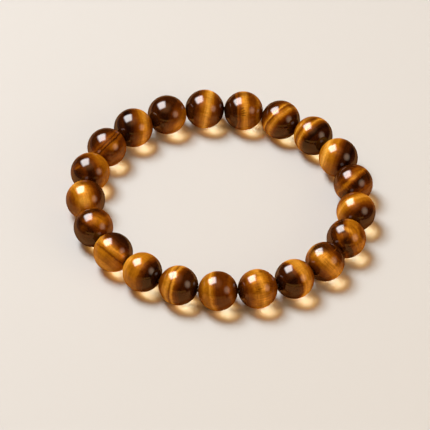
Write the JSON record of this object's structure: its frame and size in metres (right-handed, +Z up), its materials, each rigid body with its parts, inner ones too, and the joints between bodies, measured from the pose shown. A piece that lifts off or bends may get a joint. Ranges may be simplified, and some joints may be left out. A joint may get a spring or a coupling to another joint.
{
  "type": "tigers eye bead bracelet",
  "caption": "Stretch bracelet of round, polished tiger's eye beads threaded on one closed elastic cord, lying flat in a slightly oval loop.",
  "frame": {"origin": "centre of the loop on the surface that the beads rest on", "axes": "+Z up, out of that surface and across the loop's plane; +X along the loop's longer side; the picture looks from -Y"},
  "size_m": [0.0636, 0.0606, 0.008],
  "materials": {
    "tigers_eye": "high polish over banded golden, amber and dark brown fibres",
    "elastic_cord": "satin, dark brown, round"
  },
  "bodies": {
    "root": {"bead_01": "tigers_eye", "bead_02": "tigers_eye", "bead_03": "tigers_eye", "bead_04": "tigers_eye", "bead_05": "tigers_eye", "bead_06": "tigers_eye", "bead_07": "tigers_eye", "bead_08": "tigers_eye", "bead_09": "tigers_eye", "bead_10": "tigers_eye", "bead_11": "tigers_eye", "bead_12": "tigers_eye", "bead_13": "tigers_eye", "bead_14": "tigers_eye", "bead_15": "tigers_eye", "bead_16": "tigers_eye", "bead_17": "tigers_eye", "bead_18": "tigers_eye", "bead_19": "tigers_eye", "bead_20": "tigers_eye", "bead_21": "tigers_eye", "elastic_cord": "elastic_cord"}
  },
  "joints": []
}
